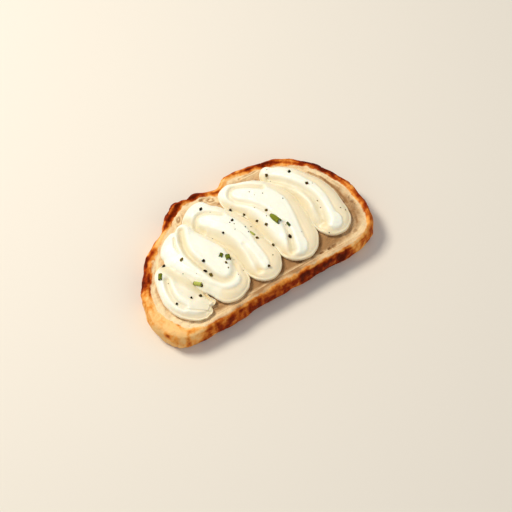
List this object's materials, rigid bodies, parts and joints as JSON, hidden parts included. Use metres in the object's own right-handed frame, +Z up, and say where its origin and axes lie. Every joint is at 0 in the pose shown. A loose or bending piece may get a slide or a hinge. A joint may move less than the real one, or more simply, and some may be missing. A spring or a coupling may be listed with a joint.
{
  "type": "mozzarella toast",
  "caption": "Slice of toasted country bread lying flat under overlapping spooned curls of soft white cheese, with cracked pepper and chopped chives.",
  "frame": {"origin": "middle of the slice's box in plan, on the flat underside that it lies on", "axes": "+X along the slice towards its blunt end, -Y towards its straight lower crust, +Z up through the cheese"},
  "size_m": [0.159, 0.0869, 0.027],
  "materials": {
    "toasted_bread": "dry toasted crust, darkest along its edges, round a paler open crumb",
    "soft_cheese": "soft moist satin, cream white",
    "pepper": "dry cracked grains",
    "chive": "fresh, slightly glossy"
  },
  "bodies": {
    "root": {"bread": "toasted_bread", "cheese_curl_1": "soft_cheese", "cheese_curl_2": "soft_cheese", "cheese_curl_3": "soft_cheese", "cheese_curl_4": "soft_cheese", "cheese_curl_5": "soft_cheese"}
  },
  "joints": []
}
